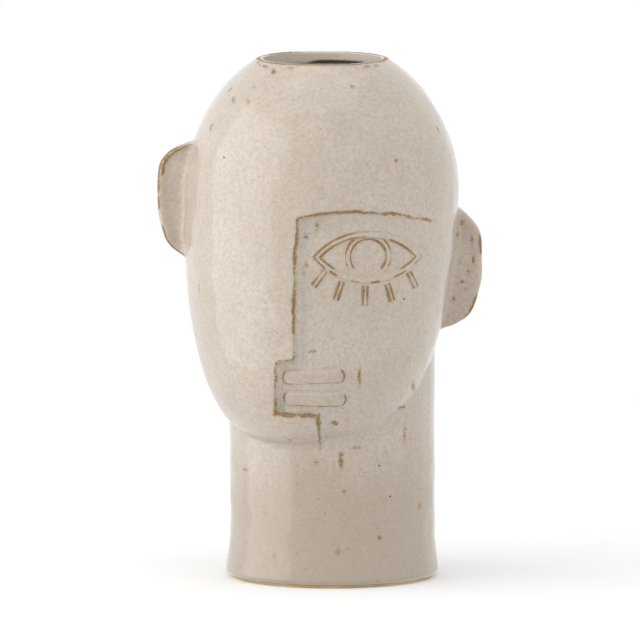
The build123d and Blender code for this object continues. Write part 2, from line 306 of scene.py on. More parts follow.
def head_ray(s, angle, z, inset=0.0):
    """Distance from the head's upright axis to the head's wall at a height."""
    return ray(s, angle, egg(s, z, inset))


def neck_ray(s, angle, inset=0.0):
    """Distance from the head's upright axis to the neck's wall."""
    return ray(s, angle, (0.0, 0.0, s.neck_width / 2 - inset, s.neck_depth / 2 - inset))


# The sunken half face: its outline in x and in drop below the widest level

BROW_LEFT, BROW_PEAK, BROW_RIGHT = (-17.2, 4.4), (17.0, 2.1), (51.0, 9.6)
BROW_POINTS = 15
NOSE_AND_CHIN = (
    (-18.4, 28.0), (-19.1, 52.0), (-18.9, 72.9), (-19.6, 74.6),
    (-26.2, 75.7), (-27.7, 76.9), (-28.4, 102.6),
    (-6.9, 103.2), (-5.7, 122.5),
)
BEYOND_THE_HEAD = ((-5.7, 140.0), (120.0, 140.0), (120.0, 8.5))  # closes the outline


def panel_line():
    """The step's visible edge, from the outer end of the brow round to the bottom of the chin."""
    x = np.linspace(BROW_RIGHT[0], BROW_LEFT[0], BROW_POINTS)
    span = BROW_RIGHT[0] - BROW_LEFT[0]

    def chord(at):
        return BROW_LEFT[1] + (BROW_RIGHT[1] - BROW_LEFT[1]) * (at - BROW_LEFT[0]) / span

    bow = (x - BROW_LEFT[0]) * (BROW_RIGHT[0] - x)
    bow /= (BROW_PEAK[0] - BROW_LEFT[0]) * (BROW_RIGHT[0] - BROW_PEAK[0])
    brow = chord(x) - (chord(BROW_PEAK[0]) - BROW_PEAK[1]) * bow
    return np.vstack([np.stack([x, brow], -1), NOSE_AND_CHIN])


def line_distance(x, drop, line):
    """Distance in millimetres to a run of straight pieces."""
    best = np.full(np.shape(x), 1e9)
    for (x0, d0), (x1, d1) in zip(line[:-1], line[1:]):
        run = (x1 - x0, d1 - d0)
        t = np.clip(((x - x0) * run[0] + (drop - d0) * run[1]) / (run[0] ** 2 + run[1] ** 2), 0, 1)
        best = np.minimum(best, np.hypot(x - x0 - t * run[0], drop - d0 - t * run[1]))
    return best


def inside(x, drop, line):
    """Whether each place lies inside a closed outline."""
    result = np.zeros(np.shape(x), bool)
    for (x0, d0), (x1, d1) in zip(line, np.roll(line, -1, axis=0)):
        crosses = (d0 > drop) != (d1 > drop)
        at = x0 + (drop - d0) * (x1 - x0) / np.where(d1 == d0, 1e-9, d1 - d0)
        result ^= crosses & (x < at)
    return result


def panel_step(x, drop, points):
    """Signed distance into the sunken half, with a hand-cut waver."""
    line = panel_line()
    distance = line_distance(x, drop, line)
    within = inside(x, drop, np.vstack([line, BEYOND_THE_HEAD]))
    return np.where(within, distance, -distance) + mixed(points, STEP_MIX)


def floor_surface(s, f, x, z):
    """Points on the floor of the sunken half, and the way out of it."""
    nudge = 0.1

    def point(px, pz):
        centre_x, centre_y, half_width, half_depth = egg(s, pz)
        across = np.clip((px - centre_x - f.panel_side) / half_width, -0.999, 0.999)
        y = centre_y + f.panel_depth - half_depth * np.sqrt(1 - across**2)
        place = np.stack([px, y, pz], -1)
        outward = np.stack([px - s.head_shift, y, 0 * px], -1)
        outward /= np.linalg.norm(outward, axis=-1, keepdims=True)
        return place - outward * dents(s, place)[..., None]

    here = point(x, z)
    normal = np.cross(point(x + nudge, z) - here, point(x, z + nudge) - here)
    return here, normal / np.linalg.norm(normal, axis=-1, keepdims=True)


# Meshes


def make_piece(node, points, faces, slot, values, flat_caps=()):
    """A smooth mesh object in metres that rides on the root and stands for a CAD node.

    values holds the numbers that its material reads at each vertex; flat_caps are faces left unsmoothed.
    """
    bm = bmesh.new()
    layers = {key: bm.verts.layers.float.new(key) for key in values}
    verts = [bm.verts.new(p * MILLIMETRE) for p in points]
    for key, layer in layers.items():
        for vert, value in zip(verts, values[key]):
            vert[layer] = float(value)
    for face in faces:
        bm.faces.new([verts[i] for i in face]).smooth = True
    for cap in flat_caps:
        face = bm.faces.new([verts[i] for i in cap])
        face.smooth = False
        for edge in face.edges:
            edge.smooth = False
    bmesh.ops.remove_doubles(bm, verts=bm.verts, dist=1e-7)
    bmesh.ops.recalc_face_normals(bm, faces=bm.faces)
    mesh = bpy.data.meshes.new(f"vase_{node}")
    bm.to_mesh(mesh)
    bm.free()
    scene = bpy.context.scene
    mesh.materials.append(glaze_material(scene) if slot == "glaze" else clay_material(scene))
    piece = bpy.data.objects.new(f"vase_{node}", mesh)
    scene.collection.objects.link(piece)
    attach(piece, "root")
    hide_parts(node)


def ring_faces(rows, cols, wrap):
    """Quads of a grid, row by row: its rows close on themselves, and its columns do too if wrap is set."""
    row, col = np.meshgrid(np.arange(rows), np.arange(cols if wrap else cols - 1), indexing="ij")
    start, next_start = row * cols, (row + 1) % rows * cols
    col_next = (col + 1) % cols
    quads = np.stack([start + col, start + col_next, next_start + col_next, next_start + col], -1)
    return quads.tolist()


def joined(rows):
    """All the quads of some rows, as one list."""
    return [quad for row in rows for quad in row]


# The body: one surface of rows from the foot over the lip and down the inside

FRONT_COLUMNS = ((180, 242, 44), (242, 320, 172), (320, 360, 30))  # from and to in degrees, and how many
BACK_COLUMNS = 120
# how many rows each part of the surface has
ROWS = SimpleNamespace(
    foot=9, neck=40, collar=9, crease=12, jaw=92, face=112, crown=46, rim=9,
    lip_outside=6, lip_inside=5, bore=15, hollow=44, stump=5, inner_neck=14,
)
FACE_LOW = 126.0  # the rows are level from here up
JAW_CROWDING = 1.25  # power by which the rows below crowd towards the crease
CHIN_FRONT = (0.83, 0.98)  # share of facing forwards between which the crease softens
CREASE_REACH = 18.0  # how far above the crease its soft end is looked for
JAW_SAMPLES, CREASE_SAMPLES = 2400, 300
LIP_LOWEST, LIP_WAVER = 0.35, 0.3  # how far the lip lies below its full height, and wavers
LIP_CIRCLE = 60  # radius at which that waver is read
LIP_ROUND = 0.45  # rounding of the lip, as a share of its thickness
SOONER = (35, 50, 92, 108)  # degrees between which the inside opens out sooner
# start and end of that above the rim's seat, and what is added to them where it opens sooner
OPENING = (2.5, -4.0)
OPENING_SOONER = (0.8, 5.6)


def columns():
    """Angles of the body's columns: close together over the face, wider elsewhere, meeting the side seam."""
    back = np.linspace(0, 180, BACK_COLUMNS, endpoint=False)
    front = [np.linspace(*run, endpoint=False) for run in FRONT_COLUMNS]
    return np.radians(np.concatenate([back, *front]))


def jaw_crease(s, angle):
    """Length of the crease under the jaw: soft below the chin, tight towards the sides."""
    front = 0.5 - 0.5 * np.sin(angle)
    return s.jaw_blend * (s.jaw_tight + (1 - s.jaw_tight) * smooth(*CHIN_FRONT, front))


def jaw_rows(s, angle):
    """For each column, where the jaw meets the neck and where the soft crease between them ends."""
    neck = neck_ray(s, angle)
    heights = np.linspace(s.chin + 0.2, s.widest - 20, JAW_SAMPLES)
    below = head_ray(s, angle[None, :], heights[:, None]) < neck[None, :]
    last = below.shape[0] - 1 - np.argmax(below[::-1], axis=0)
    crease = heights[last]
    soft = jaw_crease(s, angle)
    ends = []
    for j, height in enumerate(crease):
        up = height + np.linspace(0, 1, CREASE_SAMPLES) ** 1.5 * CREASE_REACH
        out = head_ray(s, angle[j], up)
        run = np.concatenate([[0], np.cumsum(np.hypot(np.diff(out), np.diff(up)))])
        ends.append(np.interp(soft[j], run, up))
    return neck, crease, np.array(ends)


def bend(start, corner, end, count):
    """Rows along a curve from start to end that leans on a corner, without its first point."""
    t = np.linspace(0, 1, count + 1)[1:, None]
    mix = ((1 - t) ** 2, 2 * t * (1 - t), t**2)
    return [mix[0] * start[k] + mix[1] * corner[k] + mix[2] * end[k] for k in (0, 1)]


def body_rows(s, angle):
    """Radius and height of every row of the body, and the rows where its pieces part."""
    ones = np.ones_like(angle)
    neck, crease, blend_end = jaw_rows(s, angle)
    rows_r, rows_z = [], []

    def add(radius, height):
        radius, height = np.broadcast_arrays(radius + 0 * ones, height + 0 * ones)
        rows_r.append(np.atleast_2d(radius))
        rows_z.append(np.atleast_2d(height))
        return sum(len(r) for r in rows_r) - 1

    def shares(count):
        return np.linspace(0, 1, count)[1:, None]

    def level(start, end, count):
        return np.linspace(start, end, count)[1:, None] + 0 * ones

    def wall(z):
        return neck + s.flare * (1 - smooth(s.foot_show, s.flare_height, z))

    def add_head(z):
        return add(head_ray(s, angle, z), z)

    turn = np.linspace(0, math.pi / 2, ROWS.foot)[:, None]
    edge_z = s.foot_show + s.foot_edge * (1 - np.cos(turn)) + 0 * ones
    add(wall(edge_z) - s.foot_edge * (1 - np.sin(turn)), edge_z)
    neck_z = level(s.foot_show + s.foot_edge, s.collar, ROWS.neck)
    collar = add(wall(neck_z), neck_z)
    reach = np.minimum(jaw_crease(s, angle), (crease - s.collar) * 0.92)
    low_z = s.collar + (crease - reach - s.collar) * shares(ROWS.collar)
    add(neck + 0 * low_z, low_z)
    blend_r = head_ray(s, angle, blend_end)
    add(*bend((neck, crease - reach), (neck, crease), (blend_r, blend_end), ROWS.crease))
    add_head(blend_end + (FACE_LOW - blend_end) * shares(ROWS.jaw) ** JAW_CROWDING)
    add_head(level(FACE_LOW, s.widest + 2, ROWS.face))
    rim = add_head(level(s.widest + 2, s.rim_seat, ROWS.crown))
    # the lip is not quite level, and is rounded over
    circle = np.stack([LIP_CIRCLE * np.cos(angle), LIP_CIRCLE * np.sin(angle), 0 * angle], -1)
    top = s.vase_height - LIP_LOWEST + LIP_WAVER * np.clip(mixed(circle, LIP_MIX), -1.6, 1)
    rounded = top - s.lip * LIP_ROUND
    outer = head_ray(s, angle, rounded)
    mouth = ray(s, angle, tuple(np.array(egg(s, s.vase_height)) - np.array([0, 0, s.lip, s.lip])))
    middle = mouth + s.lip * 0.5
    add_head(s.rim_seat + (rounded - s.rim_seat) * shares(ROWS.rim))
    add(*bend((outer, rounded), (head_ray(s, angle, top), top), (middle, top), ROWS.lip_outside))
    lip = sum(len(r) for r in rows_r) - ROWS.lip_outside + 2
    add(*bend((middle, top), (mouth, top), (mouth, rounded), ROWS.lip_inside))
    # the inside opens out below the ring, and sooner at the back right
    bore_z = rounded + (s.rim_seat - rounded) * shares(ROWS.bore)
    sooner = window(*SOONER, np.degrees(angle))
    start, end = (s.rim_seat + at + more * sooner for at, more in zip(OPENING, OPENING_SOONER))
    inner_rim = add(mouth + s.undercut * smooth(start, end, bore_z), bore_z)
    add(mouth + s.undercut, s.rim_seat + OPENING[1])
    hollow_z = np.concatenate([
        np.linspace(s.rim_seat - 5.5, s.collar + 14, ROWS.hollow),
        np.linspace(s.collar + 12, s.collar, ROWS.stump),
    ])[:, None] + 0 * ones
    bore = neck_ray(s, angle, s.wall)
    hollow = head_ray(s, angle, hollow_z, s.wall)
    inner_collar = add(np.where(hollow_z > s.widest, hollow, np.maximum(hollow, bore)), hollow_z)
    low_z = level(s.collar, s.foot_show, ROWS.inner_neck)
    add(bore + 0 * low_z, low_z)
    marks = SimpleNamespace(
        collar=collar, rim=rim, lip=lip, inner_rim=inner_rim, inner_collar=inner_collar, crease=crease
    )
    return np.vstack(rows_r), np.vstack(rows_z), marks


# places where the glaze ran thin: across, height, half width and half length
GLAZE_MARKS = (
    (-36.5, 257.9, 1.0, 0.8), (-33.0, 257.4, 0.9, 0.7), (-29.0, 255.9, 0.9, 1.0), (-20.5, 257.9, 0.9, 0.5),
    (17.0, 257.9, 1.1, 0.5), (21.5, 257.9, 0.8, 0.5), (-38.5, 248.4, 0.6, 0.6), (-49.0, 241.4, 0.8, 1.0),
    (-41.5, 241.9, 0.6, 1.0), (31.5, 214.4, 0.5, 0.6), (-7.7, 182.7, 0.6, 1.8), (-12.7, 178.2, 0.8, 0.8),
    (-12.7, 164.2, 0.6, 0.9), (-14.2, 160.2, 0.6, 0.7), (-9.7, 121.2, 1.0, 0.5), (13.3, 108.2, 0.4, 2.4),
    (40.3, 99.2, 0.7, 2.0), (34.3, 89.2, 1.0, 0.6), (1.3, 84.2, 1.2, 0.9), (7.3, 85.7, 0.5, 0.6),
    (35.8, 75.2, 0.6, 2.4), (-43.2, 56.2, 0.7, 0.9), (-7.7, 63.2, 1.1, 1.1), (4.3, 64.2, 0.8, 3.2),
    (12.3, 70.2, 1.4, 0.4), (5.8, 48.2, 0.7, 1.2), (43.3, 38.2, 0.6, 1.1), (23.3, 24.7, 0.6, 0.9),
)
# the same on the right ear
EAR_MARKS = (
    (64.5, 176.6, 0.6, 1.0), (69.6, 168.4, 0.5, 1.1), (70.4, 158.2, 0.5, 1.2), (64.8, 147.0, 0.9, 0.5),
    (66.4, 143.4, 0.8, 0.6), (60.8, 138.5, 0.6, 0.8), (67.9, 151.6, 0.5, 0.9), (62.4, 171.0, 0.4, 0.7),
)
MARK_WEAR, MARK_REACH = 0.2, 3.0

# The step of the sunken half: where its slope starts, how it curves, and how softly it runs out
STEP_START, STEP_CURVE, STEP_SOFT = 0.25, 1.8, 0.2

# Glaze on the body: where its broken line fades, chips or narrows, in x or in drop below the widest level
BROW_FADE, CHIN_FADE = (48.5, 51.5), (117, 122)
CHIN_CHIPS = (101, 104, 107, 110)
MOUTH_NARROW = (72, 76, 99, 102)
NOSE_WIDENS = (15, 50)
# how far from the step, the lip and any edge their broken lines are looked for
STEP_BAND, LIP_BAND, EDGE_BAND = 8.0, 7.0, 8.0
FOOT_WEAR = 0.3
MOUTH_POOL = (-8.5, 90.0, 16.5, 9.0)  # pool round the lips: across, drop, half width, half height
NECK_THIN_AND_SHADE = (78.0, 38.0)  # heights between which the glaze thins and the neck darkens with painted shade
LINER_PAINTED_LIGHT = (1, 3, 7, 12)  # how far from the lip the band of painted light inside starts and ends


def mark_distance(points, marks, behind):
    """Distance in millimetres from each point to the nearest mark, for points in front of a depth."""
    best = np.full(points.shape[:-1], FAR)
    for x, z, half_width, half_length in marks:
        share = np.hypot((points[..., 0] - x) / half_width, (points[..., 2] - z) / half_length)
        best = np.minimum(best, np.clip(share - 1, 0, None) * min(half_width, half_length))
    return np.where(points[..., 1] < behind, best, FAR)


def body_shape(s, f):
    """Points of the body, with the half face sunk and the dents pressed in, and what its glaze goes by."""
    angle = columns()
    radius, height, marks = body_rows(s, angle)

    def place(r):
        return np.stack([s.head_shift + r * np.cos(angle), r * np.sin(angle) + 0 * height, height], -1)

    rows = np.arange(len(radius))[:, None]
    outside = rows <= marks.lip
    points = place(radius)
    # the sunken half: the head's own egg, moved back and to the side
    centre_x, centre_y, half_width, half_depth = egg(s, height)
    moved = ray(s, angle, (centre_x + f.panel_side, centre_y + f.panel_depth, half_width, half_depth))
    front = outside & (points[..., 1] < centre_y) & (rows > marks.collar) & (height < s.widest)
    step = np.where(front, panel_step(points[..., 0], s.widest - height, points), -FAR)
    sink = 1 - (1 - np.clip((step + STEP_START) / f.panel_wall, 0, 1)) ** STEP_CURVE
    neck = neck_ray(s, angle)
    soft = jaw_crease(s, angle)
    meet = np.clip(1 - np.abs(moved - neck) / soft, 0, 1)
    depth = np.clip(radius - np.maximum(moved, neck) - meet**2 * soft / 4, 0, None)
    depth = np.sqrt(depth**2 + STEP_SOFT**2) - STEP_SOFT
    radius = radius - sink * depth
    pressed = dents(s, place(radius)) * outside * smooth(s.foot_show, 9.0, height)
    points = place(radius - pressed * (1 - smooth(s.vase_height - 3, s.vase_height - 1, height)))
    return SimpleNamespace(
        points=points, radius=radius, height=height, step=step, depth=depth, outside=outside, marks=marks
    )


def body_glaze(s, f, body):
    """The glaze's values on the body: where it breaks, how worn and ragged that is, and how thick it lies."""
    points, height, step, outside = body.points, body.height, body.step, body.outside
    drop = s.widest - height
    # along the step
    brk = np.where(np.abs(step) < STEP_BAND, np.abs(step + 0.2), FAR)
    ends = (1 - smooth(*BROW_FADE, points[..., 0])) * (1 - smooth(*CHIN_FADE, drop))
    chipped = window(*CHIN_CHIPS, drop)
    wear = 0.62 + 0.1 * smooth(*NOSE_WIDENS, drop) + 0.5 * chipped - 0.35 * window(*MOUTH_NARROW, drop)
    wear = ends * (wear + 0.4 * unevenness(points, SMALL_WAVES))
    # along the lip and the foot
    run = np.hypot(np.diff(body.radius, axis=0), np.diff(height, axis=0))
    foot_gap = np.vstack([np.zeros((1, points.shape[1])), np.cumsum(run, axis=0)])
    lip_gap = np.abs(foot_gap - foot_gap[body.marks.lip])
    lip_wear = 1.15 + 1.1 * smooth(0.0, 15.0, points[..., 1])
    wear = np.where(lip_gap < LIP_BAND, lip_wear, np.where(foot_gap < LIP_BAND, FOOT_WEAR, wear))
    brk = np.minimum(brk, np.where(lip_gap < EDGE_BAND, lip_gap, FAR))
    brk = np.minimum(brk, np.where(foot_gap < EDGE_BAND, foot_gap + 0.2, FAR))
    # in single marks
    mark = np.where(outside, mark_distance(points, GLAZE_MARKS, 0.0), FAR)
    wear = np.where((mark < brk) & (mark < MARK_REACH), MARK_WEAR, wear)
    # pooled beside the step, under the jaw and round the lips; thin and darkened with painted shade on the
    # neck; inside, a pale band of painted light below the lip
    pool = window(0.3, 1.3, f.panel_wall, f.panel_wall * 2, step) * smooth(0.35, 1.2, body.depth)
    crease = np.exp(-((height - body.marks.crease) / 5.0) ** 2) * outside
    across = np.abs(points[..., 0] - MOUTH_POOL[0]) - MOUTH_POOL[2]
    pool_gap = np.maximum(across, np.abs(drop - MOUTH_POOL[1]) - MOUTH_POOL[3])
    pool = np.maximum(np.maximum(pool, 0.35 * crease), 0.8 * smooth(3.5, 0.0, pool_gap) * (step > 0))
    # thinner glaze and painted shade: the neck darkens towards the foot
    pool = pool - s.neck_thin * smooth(*NECK_THIN_AND_SHADE, height + mixed(points, NECK_MIX)) * (1 - crease)
    return {
        "brk": np.minimum(brk, mark),
        "wear": wear,
        # inside, the band of painted light below the lip
        "pool": np.where(outside, pool, 2 * window(*LINER_PAINTED_LIGHT, lip_gap)),
        "rag": np.where(lip_gap < LIP_BAND, 0.9, 1.5 + 0.9 * chipped),
    }


class VASE_OT_body(bpy.types.Operator):
    """Build the neck, the head halves and the mouth rim from one blended surface, so that no joint shows"""

    bl_idname = "vase.body"
    bl_label = "Neck, head and rim"

    def execute(self, context):
        s = body_sizes(context.scene)
        f = settings(context.scene.vase_face)
        body = body_shape(s, f)
        values = body_glaze(s, f, body)
        points, marks = body.points, body.marks
        count = points.shape[1]
        front = np.append(np.arange(BACK_COLUMNS, count), 0)
        back = np.arange(0, BACK_COLUMNS + 1)
        everywhere = np.arange(count)
        head = np.r_[marks.collar : marks.rim + 1, marks.inner_rim : marks.inner_collar + 1]
        neck = np.r_[0 : marks.collar + 1, marks.inner_collar : len(points)]
        for node, rows, cols, wrap in (
            ("neck_tube", neck, everywhere, True),
            ("head_front", head, front, False),
            ("head_back", head, back, False),
            ("mouth_rim", np.r_[marks.rim : marks.inner_rim + 1], everywhere, True),
        ):
            grid = points[np.ix_(rows, cols)]
            part = {key: value[np.ix_(rows, cols)].ravel() for key, value in values.items()}
            row_count, col_count, _ = grid.shape
            quads = ring_faces(row_count, col_count, wrap)
            joint = [k for k in range(row_count) if rows[(k + 1) % row_count] != rows[k] + 1]
            caps = joined(quads[k] for k in joint)
            faces = joined(quads[k] for k in range(row_count) if k not in joint)
            if not wrap:
                first = np.arange(row_count) * col_count
                caps += [first.tolist(), (first + col_count - 1).tolist()]
            make_piece(node, grid.reshape(-1, 3), faces, "glaze", part, caps)
        return {"FINISHED"}


class VASE_OT_foot(bpy.types.Operator):
    """Build the base slab: a bare oval plug with a flange that shows under the glazed wall"""

    bl_idname = "vase.foot"
    bl_label = "Foot"

    turns = 240
    slip = 0.2  # room beside the plug
    chamfer = 0.45
    rubbed = slice(6, 8)  # rows of the profile that the table rubs
    rub_depth = 0.12

    def execute(self, context):
        s = body_sizes(context.scene)
        angle = np.linspace(0, 2 * math.pi, self.turns, endpoint=False)
        flange = neck_ray(s, angle) + s.flare - s.foot_edge
        plug = neck_ray(s, angle, s.wall + self.slip)
        profile = (
            (0.04 * flange, 0.22), (0.5 * flange, 0.18), (flange - 9, 0.12), (flange - 6, 0.0),
            (flange - self.chamfer - 1, 0.0), (flange - self.chamfer, 0.05), (flange - 0.12, 0.4),
            (flange, 0.75), (flange, s.foot_show), (plug, s.foot_show), (plug, s.floor - 0.6),
            (plug - 0.6, s.floor), (0.5 * plug, s.floor), (0.04 * plug, s.floor),
        )
        way = np.stack([np.cos(angle), np.sin(angle), 0 * angle], -1)
        grid = np.array([radius[:, None] * way + (s.head_shift, 0, z) for radius, z in profile])
        rub = self.rub_depth * (1 + unevenness(grid, EDGE_WAVES)[self.rubbed])
        grid[self.rubbed] -= way * rub[..., None]
        last = (len(profile) - 1) * self.turns
        faces = joined(ring_faces(len(profile), self.turns, True)[:-1])
        caps = [list(range(self.turns)), list(range(last, last + self.turns))]
        make_piece("foot_slab", grid.reshape(-1, 3), faces, "bare_clay", {}, caps)
        return {"FINISHED"}


# Raised pieces on the sunken half

RELIEF_DEPTH = 1.2  # how far a raised piece reaches under the face that it sits on


def relief_piece(node, s, f, x, z, height, keep, values):
    """A raised patch on the floor of the sunken half, sunk in at its edge and closed underneath."""
    here, out = floor_surface(s, f, x, z)
    top = here + out * height[..., None]
    under = here - out * RELIEF_DEPTH
    cells = keep[:-1, :-1] & keep[1:, :-1] & keep[1:, 1:] & keep[:-1, 1:]
    index = np.arange(x.size).reshape(x.shape)
    corners = np.stack([index[:-1, :-1], index[1:, :-1], index[1:, 1:], index[:-1, 1:]], -1)[cells]
    edges = {}
    for quad in corners.tolist():
        for a, b in zip(quad, quad[1:] + quad[:1]):
            edges[(a, b)] = True
    rim = [(a, b) for a, b in edges if (b, a) not in edges]
    used = np.unique(corners)
    remap = {int(old): new for new, old in enumerate(used)}
    count = len(used)
    faces = [[remap[i] for i in quad] for quad in corners.tolist()]
    faces += [[remap[i] + count for i in reversed(quad)] for quad in corners.tolist()]
    faces += [[remap[b], remap[a], remap[a] + count, remap[b] + count] for a, b in rim]
    points = np.vstack([top.reshape(-1, 3)[used], under.reshape(-1, 3)[used]])
    part = {key: np.tile(np.broadcast_to(value, x.shape).ravel()[used], 2) for key, value in values.items()}
    make_piece(node, points, faces, "glaze", part)


def rib_profile(off, width, relief):
    """Height of a rib with a flat top and soft edges, at a distance from its middle line."""
    past = off - width / 2
    return relief * (1 - smooth(-0.7, 0.2, past)) - RIB_SINK * smooth(0.15, 0.7, past)


def rib_values(off, width, line, strength):
    """Glaze values of a rib: it breaks in a line along both edges and stays pale along the middle."""
    return {
        "brk": np.abs(off - (width - line) / 2),
        "wear": strength * (line / 2 + NO_LINE) - NO_LINE,
        "pool": 0.5 * smooth(0.55, 0.2, off),
        "rag": 0.45 + 0 * off,
    }


def turned(across, up, lean):
    """The same places in axes that are turned by an angle."""
    return across * math.cos(lean) + up * math.sin(lean), up * math.cos(lean) - across * math.sin(lean)


class VASE_OT_eye(bpy.types.Operator):
    """Build the eye's outline, the iris ring and the lashes as ribs on the sunken half"""

    bl_idname = "vase.eye"
    bl_label = "Eye"

    centre = (17.4, 24.9)  # across, and below the widest level
    ring_shift = (0.1, 0.8)  # middle of the iris from the middle of the eye
    # stretches of the lower lid without a line
    lower_gaps = ((-20.5, -18.7), (-14.7, -8.0), (-3.7, 1.8), (6.3, 13.0), (18.6, 23.1))
    gap_fade = 0.4
    # each lash's root, across and up from the eye's middle, its lean to the right in degrees and its length
    lash_rows = (
        (-21.1, -5.7, -36.5, 9.4), (-12.7, -11.0, -18.9, 9.7), (-1.1, -13.5, -2.3, 9.9),
        (9.5, -13.1, 16.2, 9.1), (20.2, -8.2, 24.8, 8.8),
    )
    pitch = 0.32  # of the grid that the ribs are drawn on
    skirt = 0.85  # what is kept of that grid beside a rib
    worn_seeds = {"lids": 31, "ring": 35, "lashes": 37}

    def grid(self, s, f, half_across, low, high):
        """Places around the eye, and the same places in the eye's own tilted axes."""
        across, up = np.arange(-half_across, half_across, self.pitch), np.arange(low, high, self.pitch)
        across, up = np.meshgrid(across, up, indexing="ij")
        u, v = turned(across, up, -f.eye_tilt)
        return across + self.centre[0], up + s.widest - self.centre[1], u, v

    def almond(self, f, u, v):
        """Signed distance to the eye's outer edge, negative inside."""
        half = f.eye_length / 2
        lower = (half**2 + f.eye_drop**2) / (2 * f.eye_drop)
        upper = (half**2 + f.eye_rise**2) / (2 * f.eye_rise)
        below = np.hypot(u, v - lower + f.eye_drop) - lower
        return np.maximum(below, np.hypot(u, v + upper - f.eye_rise) - upper)

    def worn(self, u, v, piece):
        """How strongly the glaze breaks at each place, 0 to 1."""
        uneven = unevenness(np.stack([u, 0 * u, v], -1), waves(self.worn_seeds[piece], 14.0))
        return np.clip(0.85 + 0.45 * uneven, 0, 1)

    def lids(self, s, f):
        """The almond rib. Its lines fade outside the upper lid's right half and inside the lower lid."""
        x, z, u, v = self.grid(s, f, f.eye_length / 2 + 2, -f.eye_drop - 4, f.eye_rise + 4)
        signed = self.almond(f, u, v) + f.rib / 2
        off = np.abs(signed)
        above, below = smooth(0.5, 2.5, v), smooth(0.0, -2.0, v)
        outer = smooth(-0.5, 2.0, u) * above
        fade = self.gap_fade
        for start, stop in self.lower_gaps:
            gap = window(start - fade, start + fade, stop - fade, stop + fade, u)
            outer = np.maximum(outer, gap * below)
        inner = smooth(17.5, 14.0, np.abs(u)) * below
        inner = np.maximum(inner, 0.8 * window(-2.5, -0.5, 9.0, 11.0, u) * above)
        strength = self.worn(u, v, "lids") * (1 - np.where(signed > 0, outer, inner))
        height = rib_profile(off, f.rib, f.rib_relief)
        values = rib_values(off, f.rib, f.rib_line, strength)
        relief_piece("eye_outline", s, f, x, z, height, off < f.rib / 2 + self.skirt, values)

    def ring(self, s, f):
        """The iris ring, which runs out at the bottom and under the upper lid."""
        x, z, u, v = self.grid(s, f, f.iris / 2 + 2, -f.iris / 2 - 3, f.iris / 2 + 2)
        across, up = u - self.ring_shift[0], v - self.ring_shift[1]
        signed = np.hypot(across, up) - f.iris / 2 + f.ring_rib / 2
        off = np.abs(signed)
        from_below = np.degrees(np.arctan2(np.abs(across), -up))
        under_lid = self.almond(f, u, v) + f.rib
        clear = smooth(0.5, -0.5, under_lid)
        low = 0.3 + 0.7 * smooth(45, 62, from_below)
        height = (rib_profile(off, f.ring_rib, f.rib_relief * low) + RIB_SINK) * clear - RIB_SINK
        shown = np.where(signed > 0, smooth(58, 68, from_below), smooth(42, 52, from_below))
        values = rib_values(off, f.ring_rib, f.rib_line, self.worn(u, v, "ring") * shown * clear)
        keep = (off < f.ring_rib / 2 + self.skirt) & (under_lid < 0.7)
        relief_piece("iris_ring", s, f, x, z, height, keep, values)

    def lashes(self, s, f):
        """Five short ribs below the lower lid."""
        x, z, u, v = self.grid(s, f, f.eye_length / 2 + 4, -f.eye_drop - 15, 0.0)
        width = f.lash_width
        off, ends, nearest = (np.full(u.shape, FAR) for _ in range(3))
        for root_x, root_z, lean, reach in self.lash_rows:
            across = x - self.centre[0] - root_x
            down = root_z - (z - s.widest + self.centre[1])
            aside, along = turned(across, down, -math.radians(lean))
            aside = np.abs(aside)
            past = np.maximum(-along, along - reach)
            near = np.maximum(aside - width / 2, past)
            closer = near < nearest
            off, ends = np.where(closer, aside, off), np.where(closer, past, ends)
            nearest = np.where(closer, near, nearest)
        sides = rib_profile(off, width, f.rib_relief)
        height = np.minimum(sides, rib_profile(ends + width / 2 - 0.1, width, f.rib_relief))
        strength = self.worn(u, v, "lashes") * smooth(0.4, -0.3, ends)
        keep = (off < width / 2 + 0.8) & (ends < 0.8)
        relief_piece("eyelashes", s, f, x, z, height, keep, rib_values(off, width, f.lash_line, strength))

    def execute(self, context):
        s = body_sizes(context.scene)
        f = settings(context.scene.vase_face)
        for build in (self.lids, self.ring, self.lashes):
            build(s, f)
        return {"FINISHED"}


